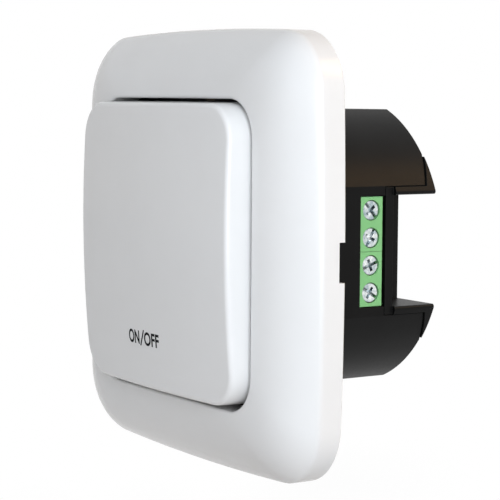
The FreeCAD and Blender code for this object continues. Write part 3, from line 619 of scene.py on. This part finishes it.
def make_world(level):
    """White surroundings: full white to the camera and in reflections, a soft level for light."""
    world = bpy.data.worlds.new("studio")
    world.use_nodes = True
    tree = world.node_tree
    soft = tree.nodes["Background"]
    soft.inputs["Color"].default_value = (1.0, 1.0, 1.0, 1.0)
    soft.inputs["Strength"].default_value = level
    seen = tree.nodes.new("ShaderNodeBackground")
    seen.inputs["Color"].default_value = (1.0, 1.0, 1.0, 1.0)
    seen.inputs["Strength"].default_value = 1.0
    mixed = tree.nodes.new("ShaderNodeMixShader")
    tree.links.new(background_rays(tree), mixed.inputs["Fac"])
    tree.links.new(soft.outputs["Background"], mixed.inputs[1])
    tree.links.new(seen.outputs["Background"], mixed.inputs[2])
    tree.links.new(mixed.outputs["Shader"], tree.nodes["World Output"].inputs["Surface"])
    bpy.context.scene.world = world


def make_lamp(name, place, size, power, colour):
    """Soft square lamp, aimed at the object."""
    lamp = bpy.data.lights.new(name, "AREA")
    lamp.size = size
    lamp.energy = power
    lamp.color = colour
    obj = bpy.data.objects.new(name, lamp)
    obj.location = place
    obj.rotation_euler = Vector(place).to_track_quat("Z", "Y").to_euler()
    bpy.context.scene.collection.objects.link(obj)


def make_camera():
    """Camera at the photograph's place, found from the terminal pitch and the outlines."""
    yaw = math.radians(57.36)
    pitch = math.radians(5.0)
    roll = math.radians(0.38)
    place = (0.28638, -0.17693, 0.02856)
    sensor_mm = 36.0
    focal_pixels = 1771.4
    image_pixels = 500.0
    back = Vector((math.sin(yaw) * math.cos(pitch), -math.cos(yaw) * math.cos(pitch), math.sin(pitch)))
    right = Vector((0.0, 0.0, 1.0)).cross(back).normalized()
    up = back.cross(right)
    turned_right = right * math.cos(roll) + up * math.sin(roll)
    turned_up = up * math.cos(roll) - right * math.sin(roll)
    camera = bpy.data.cameras.new("camera")
    camera.sensor_width = sensor_mm
    camera.lens = sensor_mm * focal_pixels / image_pixels
    camera.clip_start = 0.01
    obj = bpy.data.objects.new("camera", camera)
    turn = Matrix((turned_right, turned_up, back)).transposed().to_4x4()
    obj.matrix_world = Matrix.Translation(place) @ turn
    bpy.context.scene.collection.objects.link(obj)
    bpy.context.scene.camera = obj


white = plastic("white_plastic", dark=(0.79, 0.79, 0.79), light=(0.81, 0.81, 0.81), rough=(0.16, 0.22),
                grain=900.0, depth=0.000006)
black = plastic("black_plastic", dark=(0.004, 0.004, 0.004), light=(0.008, 0.008, 0.008), rough=(0.34, 0.44),
                grain=3500.0, depth=0.00002, radius=0.0002, shine=0.09)
green = plastic("terminal_plastic", dark=(0.20, 0.50, 0.20), light=(0.24, 0.56, 0.23), rough=(0.38, 0.50),
                grain=2600.0, depth=0.00001, radius=0.0001)
ink = plastic("printing_ink", dark=(0.005, 0.005, 0.006), light=(0.010, 0.010, 0.011), rough=(0.55, 0.7),
              grain=5000.0, depth=0.000004, shine=0.05)
zinc = metal("zinc_plate", dark=(0.30, 0.40, 0.44), light=(0.95, 0.96, 0.96), rough=(0.12, 0.36),
             grain=3000.0, depth=0.00009, radius=0.00008)
steel = metal("plated_steel", dark=(0.50, 0.50, 0.49), light=(0.66, 0.66, 0.65), rough=(0.25, 0.45),
              grain=1800.0, depth=0.00002)
tinned = metal("tinned_brass", dark=(0.62, 0.61, 0.57), light=(0.75, 0.74, 0.71), rough=(0.22, 0.38),
               grain=1500.0, depth=0.00002)
copper = metal("copper_wire", dark=(0.62, 0.28, 0.14), light=(0.78, 0.40, 0.22), rough=(0.2, 0.36),
               grain=1500.0, depth=0.00002)
board = circuit_board("circuit_board")
small_black = plastic("component_black", dark=(0.012, 0.012, 0.013), light=(0.024, 0.024, 0.026),
                      rough=(0.45, 0.62), grain=4200.0, depth=0.00002)
relay_blue = plastic("relay_case", dark=(0.010, 0.045, 0.19), light=(0.016, 0.06, 0.24), rough=(0.28, 0.4),
                     grain=1800.0, depth=0.00001)
film_yellow = plastic("film_box", dark=(0.56, 0.36, 0.03), light=(0.66, 0.44, 0.05), rough=(0.25, 0.38),
                      grain=1500.0, depth=0.00001)
sleeve = plastic("can_sleeve", dark=(0.012, 0.016, 0.035), light=(0.02, 0.026, 0.05), rough=(0.2, 0.32),
                 grain=1500.0, depth=0.00001)
varistor_blue = plastic("varistor_coat", dark=(0.02, 0.08, 0.30), light=(0.03, 0.11, 0.38), rough=(0.3, 0.45),
                        grain=900.0, depth=0.00003)
fuse_brown = plastic("fuse_case", dark=(0.07, 0.025, 0.012), light=(0.10, 0.04, 0.018), rough=(0.3, 0.42),
                     grain=1500.0, depth=0.00001)

node_materials = {
    "housing": black, "rear_cover": black,
    "terminal_block_upper": green, "terminal_block_lower": green,
    "control_board": board, "radio_board": board, "board_screws": zinc,
    "tact_switch": small_black, "tact_plunger": small_black, "module_header": small_black,
    "microcontroller": small_black, "rectifier": small_black, "relay": relay_blue,
    "film_capacitor": film_yellow, "electrolytic_large": sleeve, "electrolytic_small": sleeve,
    "varistor": varistor_blue, "fuse": fuse_brown, "radio_shield": steel, "antenna_coil": copper,
}
for number in range(1, pole_count + 1):
    node_materials["terminal_screw_%d" % number] = zinc
    node_materials["clamp_cage_%d" % number] = steel
    node_materials["contact_bar_%d" % number] = tinned
for node_name, node_material in node_materials.items():
    paint(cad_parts[node_name], node_material)

frame_shell = make_frame_shell()
frame_posts = make_frame_posts()
for piece in (frame_shell, frame_posts):
    paint(piece, white)
    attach(piece, "base")
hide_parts("frame")

key_shell = make_key_shell()
key_inside = make_key_inside()
for piece in (key_shell, key_inside):
    paint(piece, white)
    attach(piece, "key")
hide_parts("key")
lettering = make_lettering()
paint(lettering, ink)
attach(lettering, "key")
for spring_side in ("left", "right"):
    make_spring(spring_side)

make_floor()
make_world(level=0.12)
make_lamp("right_softbox", place=(0.654, -0.238, 0.073), size=0.5, power=4.0, colour=(0.88, 0.94, 1.0))
make_lamp("right_high_softbox", place=(0.520, -0.130, 0.450), size=0.4, power=0.6, colour=(0.88, 0.95, 1.0))
make_lamp("left_fill", place=(-0.899, -0.754, 0.249), size=2.0, power=0.8, colour=(1.0, 0.80, 0.50))
make_lamp("front_high_fill", place=(0.527, -0.753, 0.771), size=2.0, power=7.4, colour=(0.93, 0.95, 1.0))
make_lamp("warm_top_reflector", place=(0.375, 0.435, 0.451), size=0.25, power=1.2, colour=(1.0, 0.58, 0.22))
make_camera()
bpy.context.scene.view_settings.view_transform = "Standard"
